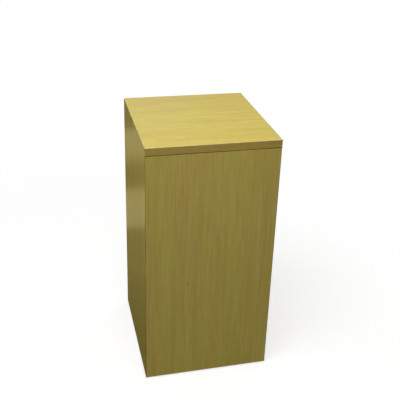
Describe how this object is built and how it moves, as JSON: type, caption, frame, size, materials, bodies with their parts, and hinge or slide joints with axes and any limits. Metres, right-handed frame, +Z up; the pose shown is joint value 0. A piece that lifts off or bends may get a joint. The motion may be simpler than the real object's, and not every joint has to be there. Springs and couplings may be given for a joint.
{
  "type": "display plinth",
  "caption": "Tall box-shaped display plinth in faced chipboard, with a flat top to stand goods on, mitred sides and an open underside.",
  "frame": {"origin": "on the floor, under the middle of the plinth", "axes": "+Z up; the front face, with the edge band and the hairline under the top board, faces -Y; +X is the right-hand side seen from the front"},
  "size_m": [0.305, 0.33, 0.613],
  "materials": {
    "faced_board": "satin maple-look melamine on chipboard",
    "edge_band": "satin wood-look plastic edge band",
    "softwood": "planed pine, unfinished",
    "beech": "pressed beech, unfinished",
    "zinc_steel": "zinc-plated steel",
    "glide_plastic": "brown polypropylene"
  },
  "bodies": {
    "root": {"back_base_rail": "softwood", "back_board": "faced_board", "back_left_corner_batten": "softwood", "back_left_glide": "glide_plastic", "back_right_corner_batten": "softwood", "back_right_glide": "glide_plastic", "back_top_batten": "softwood", "base_rail_screws": "zinc_steel", "corner_batten_screws": "zinc_steel", "corner_biscuits": "beech", "front_base_rail": "softwood", "front_board": "faced_board", "front_left_corner_batten": "softwood", "front_left_glide": "glide_plastic", "front_right_corner_batten": "softwood", "front_right_glide": "glide_plastic", "front_top_batten": "softwood", "glide_nails": "zinc_steel", "left_base_rail": "softwood", "left_board": "faced_board", "left_top_batten": "softwood", "right_base_rail": "softwood", "right_board": "faced_board", "right_top_batten": "softwood", "top_back_band": "edge_band", "top_batten_screws": "zinc_steel", "top_board": "faced_board", "top_butt_biscuits": "beech", "top_front_band": "edge_band", "top_mitre_biscuits": "beech"}
  },
  "joints": []
}
